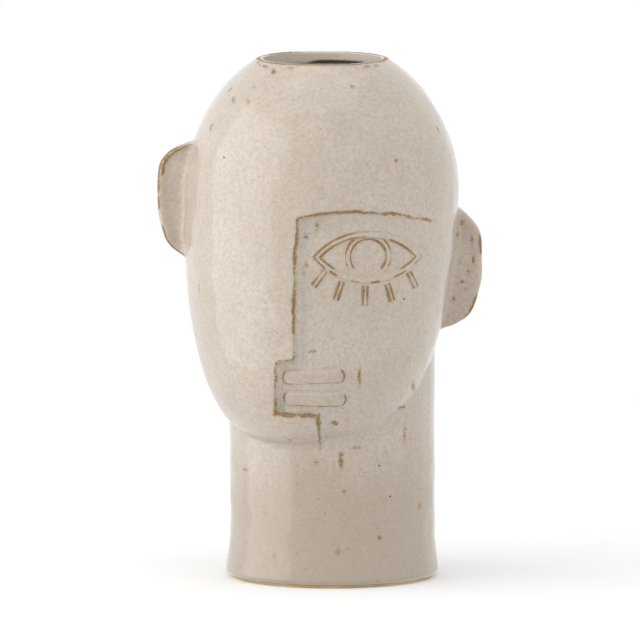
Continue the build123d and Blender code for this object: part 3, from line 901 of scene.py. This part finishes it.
class VASE_OT_lips(bpy.types.Operator):
    """Build the two bar lips as soft pads on the sunken half"""

    bl_idname = "vase.lips"
    bl_label = "Lips"

    # each lip's node, middle across and below the widest level, tilt in degrees, added half height and seed
    lips = (("upper_lip", -9.2, 83.5, 2.0, -0.3, 41), ("lower_lip", -8.6, 94.7, -1.0, 0.2, 47))
    pitch = 0.36
    margin = 2.5
    line_wear = 0.85

    def grid(self, f):
        """Places around the middle of a lip."""
        return np.meshgrid(*(
            np.arange(-half - self.margin, half + self.margin + self.pitch / 2, self.pitch)
            for half in (f.lip_length / 2, f.lip_height / 2)
        ), indexing="ij")

    def execute(self, context):
        s = body_sizes(context.scene)
        f = settings(context.scene.vase_face)
        across, up = self.grid(f)
        for node, centre_x, drop, tilt, taller, seed in self.lips:
            half = f.lip_height / 2 + taller
            x, z = across + centre_x, up + s.widest - drop
            u, v = turned(across, up, math.radians(tilt))
            place = np.stack([x, 0 * x, z], -1)
            v = v + 0.35 * unevenness(place, waves(seed, 22.0))
            edge = np.hypot(np.clip(np.abs(u) - f.lip_length / 2 + half, 0, None), v) - half
            rise = np.clip((0.35 - edge) / 1.9, 0, 1)
            height = f.lip_relief * (1 - (1 - rise) ** 2.2) - RIB_SINK * smooth(0.2, 0.9, edge)
            ends = 1.3 * smooth(0.78, 0.97, np.abs(u) / (f.lip_length / 2))
            below = 0.6 * smooth(0.4, -2.4, v)
            worn = np.maximum(ends, below) * (0.75 + 0.5 * unevenness(place, waves(seed + 1, 9.0)))
            values = {
                "brk": np.abs(edge + 0.55),
                "wear": worn * (self.line_wear + NO_LINE) - NO_LINE,
                "pool": 0.8 * smooth(-0.4, 0.5, edge) - 0.45 * smooth(-0.8, -2.0, edge),
                "rag": 1.0 + 0 * edge,
            }
            relief_piece(node, s, f, x, z, height, edge < 1.0, values)
        return {"FINISHED"}


def curve_through(points, count):
    """A smooth run of places through given ones, evenly spaced."""
    points = np.asarray(points, float)
    padded = np.vstack([2 * points[0] - points[1], points, 2 * points[-1] - points[-2]])
    fine = []
    for k in range(1, len(padded) - 2):
        p0, p1, p2, p3 = padded[k - 1 : k + 3]
        square, cube = 2 * p0 - 5 * p1 + 4 * p2 - p3, 3 * p1 - p0 - 3 * p2 + p3
        for t in np.linspace(0, 1, 40, endpoint=False):
            fine.append(0.5 * (2 * p1 + (p2 - p0) * t + square * t**2 + cube * t**3))
    fine = np.array(fine + [points[-1]])
    run = np.concatenate([[0], np.cumsum(np.linalg.norm(np.diff(fine, axis=0), axis=1))])
    even = np.linspace(0, run[-1], count)
    return np.stack([np.interp(even, run, fine[:, k]) for k in range(fine.shape[1])], -1)


class VASE_OT_ears(bpy.types.Operator):
    """Build the two cupped slab ears, each blended into the side of the head"""

    bl_idname = "vase.ears"
    bl_label = "Ears"

    # outlines in shares of the reach and of half the height, from the top root round to the bottom root
    left_outline = (
        (-0.85, 1.32), (-0.65, 1.19), (-0.49, 1.1), (-0.3, 1.043), (0.02, 0.983), (0.407, 0.89),
        (0.66, 0.772), (0.823, 0.634), (0.883, 0.43), (0.9, 0.2), (0.883, -0.11), (0.853, -0.266),
        (0.75, -0.469), (0.63, -0.652), (0.467, -0.776), (0.258, -0.869), (-0.04, -0.965), (-0.35, -1.05),
        (-0.7, -1.12),
    )
    right_outline = (
        (-0.5, 1.16), (0.0, 1.09), (0.3, 0.99), (0.5, 0.9), (0.73, 0.765), (0.9, 0.62), (0.98, 0.42),
        (0.995, 0.07), (0.98, -0.2), (0.86, -0.48), (0.66, -0.755), (0.43, -0.895), (0.03, -1.015),
        (-0.25, -1.06), (-0.5, -1.12),
    )
    # parts of the rim where the glaze breaks, in shares of half the height, and how softly they end
    left_bare = ((-0.97, -0.4), (-0.16, 0.1), (0.14, 0.98))
    right_bare = ((-0.92, -0.46), (0.2, 0.57))
    bare_fade = 0.07
    turns, stations = 130, 96
    rim_band = 5.0  # width of the rim, which keeps its size where the ear is narrow
    root_depth = 7.5  # how far inside the head's surface the ear starts

    def section(self, dish, back):
        """From the cup over the rim to the back: the way in from the rim, and the depth behind the front."""
        return curve_through((
            (24, dish), (11, dish), (7.5, dish * 0.95), (5, dish * 0.68), (3.4, dish * 0.3), (2.1, 0.06),
            (1.2, 0.12), (0.42, 0.8), (0.05, 2.1), (0.0, 3.6), (0.25, back - 3.8), (0.95, back - 1.8),
            (2.3, back - 0.5), (5, back - 0.05), (11, back), (24, back),
        ), self.stations)

    def ear(self, s, e, side, own):
        """Points of one ear, root to root along its rim and front to back across it, and its glaze values."""
        middle = s.widest - own.drop
        centre_x, _, half_width, _ = egg(s, np.array(middle))
        root = float(centre_x + side * half_width)
        outline = [(root + side * e.reach * u, middle + e.height / 2 * v) for u, v in own.outline]
        rim = curve_through(outline, self.turns)
        # the root stays inside the head's wall, which draws in towards the jaw
        inner_z = middle + (rim[:, 1] - middle) * 0.82
        wall_x, _, wall_half, _ = egg(s, np.minimum(inner_z, middle))
        inward = np.stack([wall_x + side * (wall_half - self.root_depth), inner_z], -1) - rim
        span = np.linalg.norm(inward, axis=1)
        inward = inward / span[:, None]
        cut = self.section(own.dish, e.thickness - 0.2)
        # the cup takes what the rim leaves
        full = cut[:, 0].max()
        near = np.minimum(1, span * 1.8 / full)[:, None]
        far = (np.maximum(span, 1.2)[:, None] - self.rim_band * near) / (full - self.rim_band)
        into = np.minimum(cut[:, 0], self.rim_band) * near
        into = into + np.clip(cut[:, 0] - self.rim_band, 0, None) * np.clip(far, 0.02, None)
        x = rim[:, None, 0] + inward[:, None, 0] * into
        z = rim[:, None, 1] + inward[:, None, 1] * into
        y = own.front + 0.1 + cut[None, :, 1] + 0 * x
        # a hollow curve of slip fills the corner between the ear and the head
        fore = np.arange(self.stations)[None, :] < self.stations // 2
        head_x, head_y, head_half, head_deep = egg(s, z)
        reach_y = np.where(fore, own.front - own.blend, own.front + e.thickness)
        surface = head_half * np.sqrt(np.clip(1 - ((reach_y - head_y) / head_deep) ** 2, 0, 1))
        gap = (x - head_x) * side - surface
        short = np.clip(own.blend - gap, 0, own.blend)
        rise = own.blend - np.sqrt(np.clip(own.blend**2 - short**2, 0, None))
        points = np.stack([x, np.where(fore, y - rise, y), z], -1)
        points[..., 0] -= side * 0.2 * (1 + unevenness(points, SMALL_WAVES))
        points[..., 1] += 0.3 * unevenness(points, SMALL_WAVES) * smooth(2, 8, into) * fore
        # the glaze breaks along the rim, along a second line on the left ear, and in single marks
        level = (points[..., 2] - middle) / (e.height / 2)
        line = np.hypot(cut[:, 0] - 0.5, (cut[:, 1] - 0.7) * 0.8)[None, :] + 0 * x
        if side < 0:
            second = np.abs(cut[:, 0] - 2.3)[None, :] + np.where(fore, 0, FAR)
            line = np.minimum(line, second + 4 * (1 - smooth(0.25, 0.5, level)))
        bare = 0 * level
        fade = self.bare_fade
        for low, high in own.bare:
            bare = np.maximum(bare, window(low - fade, low + fade, high - fade, high + fade, level))
        worn = bare * (0.95 + 0.5 * unevenness(points, waves(own.seed, 15.0)))
        worn = worn * smooth(0.0, 1.5, gap) - NO_LINE * (1 - bare)
        mark = mark_distance(points, EAR_MARKS, own.front + e.thickness / 2)
        return points, {
            "brk": np.minimum(line, mark),
            "wear": np.where((mark < line) & (mark < MARK_REACH), MARK_WEAR, worn),
            "pool": 0.3 * np.clip(1 - gap / 3, 0, 1),
            "rag": 1.1 + 0 * level,
        }

    def execute(self, context):
        s = body_sizes(context.scene)
        e = settings(context.scene.vase_ears)
        for name, side, seed in (("left", -1, 61), ("right", 1, 67)):
            own = SimpleNamespace(
                outline=getattr(self, f"{name}_outline"), bare=getattr(self, f"{name}_bare"), seed=seed,
                **{key: getattr(e, f"{name}_{key}") for key in ("drop", "front", "dish", "blend")},
            )
            points, values = self.ear(s, e, side, own)
            rows = points.transpose(1, 0, 2)
            values = {key: value.T.ravel() for key, value in values.items()}
            first = np.arange(self.stations) * self.turns
            caps = [first.tolist(), (first + self.turns - 1).tolist()]
            faces = joined(ring_faces(self.stations, self.turns, False))
            make_piece(f"ear_{name}", rows.reshape(-1, 3), faces, "glaze", values, caps)
        return {"FINISHED"}


# Materials


def rgb(value):
    """A colour with its alpha."""
    return (*value, 1.0)


class Graph:
    """Small helper that adds and joins shader nodes."""

    def __init__(self, tree):
        self.tree = tree

    def node(self, kind, inputs=None, **options):
        node = self.tree.nodes.new(kind)
        for key, value in options.items():
            setattr(node, key, value)
        self.feed(node, inputs or {})
        return node

    def feed(self, node, inputs):
        """Joins a socket to each input, or sets its value."""
        for key, value in inputs.items():
            if isinstance(value, bpy.types.NodeSocket):
                self.tree.links.new(value, node.inputs[key])
            else:
                node.inputs[key].default_value = value

    def math(self, operation, a, b=0.0, clamp=False):
        return self.node("ShaderNodeMath", {0: a, 1: b}, operation=operation, use_clamp=clamp).outputs[0]

    def times(self, a, b, clamp=False):
        return self.math("MULTIPLY", a, b, clamp)

    def plus(self, a, b):
        return self.math("ADD", a, b)

    def minus(self, a, b):
        return self.math("SUBTRACT", a, b)

    def vectors(self, operation, a, b=(0.0, 0.0, 0.0)):
        return self.node("ShaderNodeVectorMath", {0: a, 1: b}, operation=operation).outputs

    def ramp(self, value, low, high):
        """0 at low and 1 at high; low may be above high."""
        inputs = {"Value": value, "From Min": low, "From Max": high}
        return self.node("ShaderNodeMapRange", inputs, interpolation_type="SMOOTHSTEP").outputs["Result"]

    def mix(self, factor, a, b):
        node = self.node("ShaderNodeMix", data_type="RGBA", clamp_factor=True)
        self.feed(node, {0: factor, 6: a, 7: b})
        return node.outputs[2]

    def noise(self, vector, scale, detail=3.0, roughness=0.55):
        inputs = {"Vector": vector, "Scale": scale, "Detail": detail, "Roughness": roughness}
        return self.node("ShaderNodeTexNoise", inputs).outputs["Fac"]

    def scatter(self, vector, scale, edge, channel, kept, ragged=None):
        """A mask of scattered dots with a soft edge, of which only some are kept."""
        inputs = {"Vector": vector, "Scale": scale, "Randomness": 1.0}
        dots = self.node("ShaderNodeTexVoronoi", inputs).outputs
        away = dots["Distance"] if ragged is None else self.plus(dots["Distance"], ragged)
        chance = self.node("ShaderNodeSeparateColor", {"Color": dots["Color"]}).outputs[channel]
        return self.times(self.ramp(away, *edge), self.ramp(chance, *kept))

    def value(self, name):
        return self.node("ShaderNodeAttribute", attribute_name=name, attribute_type="GEOMETRY").outputs["Fac"]

    def bump(self, height, strength, distance):
        inputs = {"Height": height, "Strength": strength, "Distance": distance}
        return self.node("ShaderNodeBump", inputs).outputs["Normal"]


def speck_masks(g, given):
    """Fine speckle, iron specks and pinholes, and small ochre pits, as masks."""
    vector = given["Vector"]
    warp = g.node("ShaderNodeTexNoise", {"Vector": vector, "Scale": 900.0, "Detail": 2.0}).outputs["Color"]
    wobble = g.node("ShaderNodeMix", data_type="VECTOR")
    g.feed(wobble, {0: 0.0012, 4: vector, 5: warp})
    wobble = wobble.outputs[1]
    speckle = g.scatter(wobble, 900.0, (0.4, 0.15), 0, (0.55, 0.8))
    pinhole = g.scatter(wobble, 150.0, (0.085, 0.045), 0, (0.955, 0.965))
    freckle = g.scatter(wobble, 420.0, (0.2, 0.08), 1, (0.84, 0.88))
    pinhole = g.math("MAXIMUM", pinhole, g.times(freckle, 0.42))
    upright = g.vectors("MULTIPLY", wobble, (1.0, 1.0, 0.55))[0]
    ragged = g.times(g.minus(g.noise(vector, 950.0), 0.5), 0.28)
    pit = g.scatter(upright, 95.0, (0.17, 0.08), 2, (0.74, 0.8), ragged)
    patchy = g.ramp(g.noise(vector, 26.0, 2.0), 0.46, 0.56)
    return speckle, pinhole, g.times(pit, patchy)


# dark pinholes: across and height, in metres, and the radii between which they end
PINHOLES = ((-0.0535, 0.2148), (0.0353, 0.1458), (0.0232, 0.0608), (0.0287, 0.0449))
PINHOLE_EDGE = (0.0006, 0.00032)


def pinhole_mask(g, given):
    """A few round dark pinholes on the front, as a mask."""
    vector = given["Vector"]
    flat = g.vectors("MULTIPLY", vector, (1.0, 0.0, 1.0))[0]
    mask = 0.0
    for across, height in PINHOLES:
        away = g.vectors("DISTANCE", flat, (across, 0.0, height))["Value"]
        mask = g.math("MAXIMUM", g.ramp(away, *PINHOLE_EDGE), mask)
    front = g.ramp(g.node("ShaderNodeSeparateXYZ", {0: vector}).outputs[1], 0.001, -0.001)
    return (g.times(mask, front),)


def break_masks(g, given):
    """Where the glaze breaks over an edge: a ragged, interrupted line, and its darker core."""
    vector, rough = given["Vector"], given["Ragged"]
    ragged = g.minus(g.noise(vector, 1250.0, 3.0, 0.7), 0.5)
    along = g.minus(g.noise(vector, 240.0, 3.0, 0.6), 0.5)
    width = g.plus(given["Wear"], g.times(g.times(along, 1.3), rough))
    reach = g.plus(given["Distance"], g.times(g.times(ragged, 1.9), rough))
    lack = g.minus(width, reach)
    grain = g.ramp(g.noise(vector, 1500.0, 2.0), 0.4, 0.6)
    return g.ramp(lack, -0.05, 0.22), g.times(g.ramp(lack, 0.05, 0.5), grain)


def skin_values(g, given):
    """Unevenness of the glaze: cloudy tone, height of its orange peel and tool marks, dapple and grain."""
    vector = given["Vector"]
    peel = g.times(g.noise(vector, 330.0, 2.0, 0.5), 0.5)
    upright = g.vectors("MULTIPLY", vector, (1.0, 1.0, 0.28))[0]
    peel = g.plus(peel, g.times(g.noise(upright, 120.0, 2.0, 0.5), 1.3))
    cloud = g.noise(vector, 34.0, 4.0, 0.6)
    return cloud, peel, g.noise(vector, 165.0, 3.0, 0.6), g.noise(vector, 480.0, 4.0, 0.75)


# each shared group: what builds it, the values that it takes beside the position, and what it gives
SHADER_GROUPS = {
    "vase_specks": (speck_masks, (), ("Speckle", "Pinhole", "Pit")),
    "vase_pinholes": (pinhole_mask, (), ("Pinhole",)),
    "vase_break": (break_masks, ("Distance", "Wear", "Ragged"), ("Line", "Core")),
    "vase_skin": (skin_values, (), ("Cloud", "Peel", "Dapple", "Grain")),
}


def shared_group(name):
    """One of the shared shader node groups, made when it is first asked for."""
    if name in bpy.data.node_groups:
        return bpy.data.node_groups[name]
    build, taken, given = SHADER_GROUPS[name]
    tree = bpy.data.node_groups.new(name, "ShaderNodeTree")
    tree.interface.new_socket("Vector", in_out="INPUT", socket_type="NodeSocketVector")
    for label in taken:
        tree.interface.new_socket(label, in_out="INPUT", socket_type="NodeSocketFloat")
    for label in given:
        tree.interface.new_socket(label, in_out="OUTPUT", socket_type="NodeSocketFloat")
    g = Graph(tree)
    results = build(g, g.node("NodeGroupInput").outputs)
    g.node("NodeGroupOutput", dict(zip(given, results)))
    return tree


def with_group(g, name, vector, **inputs):
    """The outputs of a node that runs a shared group on a position."""
    node = g.node("ShaderNodeGroup", node_tree=shared_group(name))
    g.feed(node, {"Vector": vector, **inputs})
    return node.outputs


def new_material(name):
    """A new material with its graph, its shader and the position on the piece."""
    material = bpy.data.materials.new(name)
    material.use_nodes = True
    g = Graph(material.node_tree)
    shader = material.node_tree.nodes["Principled BSDF"]
    return material, g, shader, g.node("ShaderNodeTexCoord").outputs["Object"]


def glaze_material(scene):
    """Warm off-white glaze: speckled, pooled in the hollows and broken to ochre along the edges; painted
    shade darkens the neck, and painted light brightens a band inside the mouth.
    """
    if "vase_glaze" in bpy.data.materials:
        return bpy.data.materials["vase_glaze"]
    c = settings(scene.vase_glaze)
    material, g, shader, vector = new_material("vase_glaze")
    skin = with_group(g, "vase_skin", vector)
    specks = with_group(g, "vase_specks", vector)
    brk, wear, pool = g.value("brk"), g.value("wear"), g.value("pool")
    lines = with_group(g, "vase_break", vector, Distance=brk, Wear=wear, Ragged=g.value("rag"))
    # thinner glaze, together with the painted shade down the neck
    thin_and_shade = g.times(g.times(pool, -1.0), 0.9, clamp=True)
    gritty = g.plus(g.times(thin_and_shade, 0.4), 0.6)
    fleck = g.plus(g.times(pool, 0.3, clamp=True), 0.38)
    halo = g.ramp(g.minus(brk, wear), 1.3, 0.0)
    pinhole = g.math("MAXIMUM", specks["Pinhole"], with_group(g, "vase_pinholes", vector)["Pinhole"])
    tone = rgb(c.cream)
    for amount, over in (
        (g.times(g.ramp(skin["Cloud"], 0.62, 0.38), 0.3), c.warm),
        (g.times(g.ramp(skin["Dapple"], 0.42, 0.68), 0.3), c.pale),
        (g.times(pool, 0.85, clamp=True), c.pale),
        (thin_and_shade, c.warm),
        (g.times(g.ramp(skin["Grain"], 0.62, 0.34), gritty), c.grit),
        (g.times(specks["Speckle"], fleck), c.speck),
        # a paler glaze inside, as painted light below the lip
        (g.times(g.ramp(pool, 1.1, 1.9), 0.9), c.liner_painted_light),
        (g.times(specks["Pit"], 0.8), c.ochre),
        (g.times(halo, 0.16), c.ochre),
        (lines["Line"], c.ochre),
        (g.times(lines["Core"], 0.75), c.umber),
        (pinhole, c.pinhole),
    ):
        tone = g.mix(amount, tone, rgb(over))
    bare = g.math("MAXIMUM", lines["Line"], specks["Pit"])
    rough = g.plus(g.times(bare, 0.2), c.roughness)
    rough = g.plus(rough, g.times(g.minus(skin["Dapple"], 0.5), 0.16))
    peel = g.minus(skin["Peel"], g.times(specks["Pinhole"], 0.9))
    peel = g.minus(peel, g.times(bare, 0.35))
    g.feed(shader, {
        "Base Color": tone,
        "Roughness": rough,
        "Coat Weight": g.times(g.minus(1.0, g.times(bare, 0.7)), c.gloss),
        "Coat Roughness": c.gloss_roughness,
        "IOR": 1.5,
        "Normal": g.bump(peel, 0.62, 0.0004),
        "Coat Normal": g.bump(peel, 0.4, 0.0003),
    })
    return material


def clay_material(scene):
    """Bare fired clay: tan, gritty and rubbed, and lightened with painted light from the table below."""
    if "vase_bare_clay" in bpy.data.materials:
        return bpy.data.materials["vase_bare_clay"]
    c = settings(scene.vase_glaze)
    material, g, shader, vector = new_material("vase_bare_clay")
    specks = with_group(g, "vase_specks", vector)
    skin = with_group(g, "vase_skin", vector)
    tone = g.mix(g.ramp(skin["Cloud"], 0.35, 0.7), rgb(c.clay_dark), rgb(c.clay))
    tone = g.mix(g.times(specks["Speckle"], 0.5), tone, rgb(c.clay_dark))
    grit = g.plus(g.times(specks["Speckle"], -0.6), skin["Dapple"])
    g.feed(shader, {
        "Base Color": g.mix(specks["Pinhole"], tone, rgb(c.umber)),
        "Roughness": g.plus(g.times(skin["Dapple"], 0.2), 0.72),
        "Normal": g.bump(grit, 0.6, 0.0003),
    })
    return material


# The stage


class VASE_OT_stage(bpy.types.Operator):
    """Set the pale floor, the white room, the lights and the camera"""

    bl_idname = "vase.stage"
    bl_label = "Stage"

    # each light's name, place and size in metres
    lights = (
        ("key", (-1.70, -0.42, 0.55), (2.2, 2.6)),
        ("fill", (1.50, -0.85, 0.50), (2.0, 2.4)),
        ("top", (0.0, -0.1, 1.9), (1.6, 1.2)),
    )
    sensor_width = 36.0
    clip_end = 40.0
    floor_size = 1.2
    floor_fade = (0.7, 0.28)  # distances from the vase between which the floor fades out
    floor_tones = (0.93, 0.96)
    white = (1.0, 1.0, 1.0, 1.0)

    def execute(self, context):
        scene = context.scene
        p = scene.vase_stage
        scene.view_settings.view_transform = "Standard"
        self.floor(scene, p)
        self.room(scene, p)
        target = Vector((p.target_x, 0.0, p.target_z))
        for name, place, size in self.lights:
            self.light(scene, name, place, target, size, getattr(p, name))
        camera_data = bpy.data.cameras.new("camera")
        camera_data.lens = p.lens
        camera_data.sensor_width = self.sensor_width
        camera_data.clip_end = self.clip_end
        camera = bpy.data.objects.new("camera", camera_data)
        offset = Vector((0.0, -math.cos(p.elevation), math.sin(p.elevation))) * p.distance
        camera.location = target + offset
        camera.rotation_euler = (-offset).to_track_quat("-Z", "Y").to_euler()
        scene.collection.objects.link(camera)
        scene.camera = camera
        return {"FINISHED"}

    def floor(self, scene, p):
        """A wide pale floor that keeps the vase's shadow, and that the gloss doesn't mirror."""
        bm = bmesh.new()
        bmesh.ops.create_grid(bm, x_segments=8, y_segments=8, size=self.floor_size)
        mesh = bpy.data.meshes.new("floor")
        bm.to_mesh(mesh)
        bm.free()
        floor = bpy.data.objects.new("floor", mesh)
        scene.collection.objects.link(floor)
        material, g, shader, place = new_material("floor_paper")
        path = g.node("ShaderNodeLightPath").outputs
        away = g.vectors("LENGTH", place)["Value"]
        paper = g.mix(g.noise(place, 60.0), *((tone, tone, tone, 1.0) for tone in self.floor_tones))
        g.feed(shader, {
            "Alpha": g.times(g.ramp(away, *self.floor_fade), g.minus(1.0, path["Is Glossy Ray"])),
            "Base Color": g.mix(path["Is Camera Ray"], (p.bounce, p.bounce, p.bounce, 1.0), paper),
            "Emission Color": self.white,
            "Emission Strength": g.times(path["Is Camera Ray"], p.lift),
            "Roughness": 0.9,
            "Specular IOR Level": 0.1,
        })
        mesh.materials.append(material)

    def room(self, scene, p):
        """White to the camera and in reflections, softer to what it lights, and dim in front of the face."""
        world = bpy.data.worlds.new("room")
        world.use_nodes = True
        scene.world = world
        g = Graph(world.node_tree)
        world.node_tree.nodes.clear()
        way = g.node("ShaderNodeSeparateXYZ", {0: g.node("ShaderNodeTexCoord").outputs["Generated"]})
        path = g.node("ShaderNodeLightPath").outputs
        back = g.mix(path["Is Glossy Ray"], (p.behind, p.behind, p.behind, 1.0), rgb(p.backdrop))
        tone = g.mix(g.ramp(way.outputs[1], -0.75, 0.35), (p.front, p.front, p.front, 1.0), back)
        lit = g.node("ShaderNodeBackground", {"Color": tone, "Strength": 1.0}).outputs[0]
        seen = g.node("ShaderNodeBackground", {"Color": rgb(p.backdrop), "Strength": 1.0}).outputs[0]
        both = g.node("ShaderNodeMixShader", {0: path["Is Camera Ray"], 1: lit, 2: seen})
        g.node("ShaderNodeOutputWorld", {"Surface": both.outputs[0]})

    def light(self, scene, name, place, target, size, watts):
        """A large soft panel that faces the vase."""
        data = bpy.data.lights.new(name, "AREA")
        data.shape = "RECTANGLE"
        data.size, data.size_y = size
        data.energy = watts
        lamp = bpy.data.objects.new(name, data)
        lamp.location = place
        lamp.rotation_euler = (target - lamp.location).to_track_quat("-Z", "Y").to_euler()
        lamp.visible_camera = False
        scene.collection.objects.link(lamp)


class VASE_PT_panel(bpy.types.Panel):
    """The vase's sizes, colours and steps"""

    bl_idname = "VASE_PT_panel"
    bl_label = "Face vase"
    bl_space_type = "VIEW_3D"
    bl_region_type = "UI"
    bl_category = "Vase"

    def draw(self, context):
        for operator in OPERATORS:
            self.layout.operator(operator.bl_idname)
        for cls in GROUPS:
            box = self.layout.box()
            box.label(text=cls.__doc__)
            owner = getattr(context.scene, group_name(cls))
            for name in cls.__annotations__:
                box.prop(owner, name)


OPERATORS = (VASE_OT_foot, VASE_OT_body, VASE_OT_ears, VASE_OT_eye, VASE_OT_lips, VASE_OT_stage)
CLASSES = (*GROUPS, *OPERATORS, VASE_PT_panel)


def group_name(cls):
    """The scene's name for a property group."""
    return cls.__name__.replace("VASE_PG_", "vase_")


def register():
    for cls in CLASSES:
        bpy.utils.register_class(cls)
    for cls in GROUPS:
        setattr(bpy.types.Scene, group_name(cls), PointerProperty(type=cls))


def unregister():
    for cls in GROUPS:
        delattr(bpy.types.Scene, group_name(cls))
    for cls in reversed(CLASSES):
        bpy.utils.unregister_class(cls)


def main():
    """Build every piece and the stage."""
    register()
    bpy.ops.vase.foot()
    bpy.ops.vase.body()
    bpy.ops.vase.ears()
    bpy.ops.vase.eye()
    bpy.ops.vase.lips()
    bpy.ops.vase.stage()


if __name__ == "__main__":
    main()
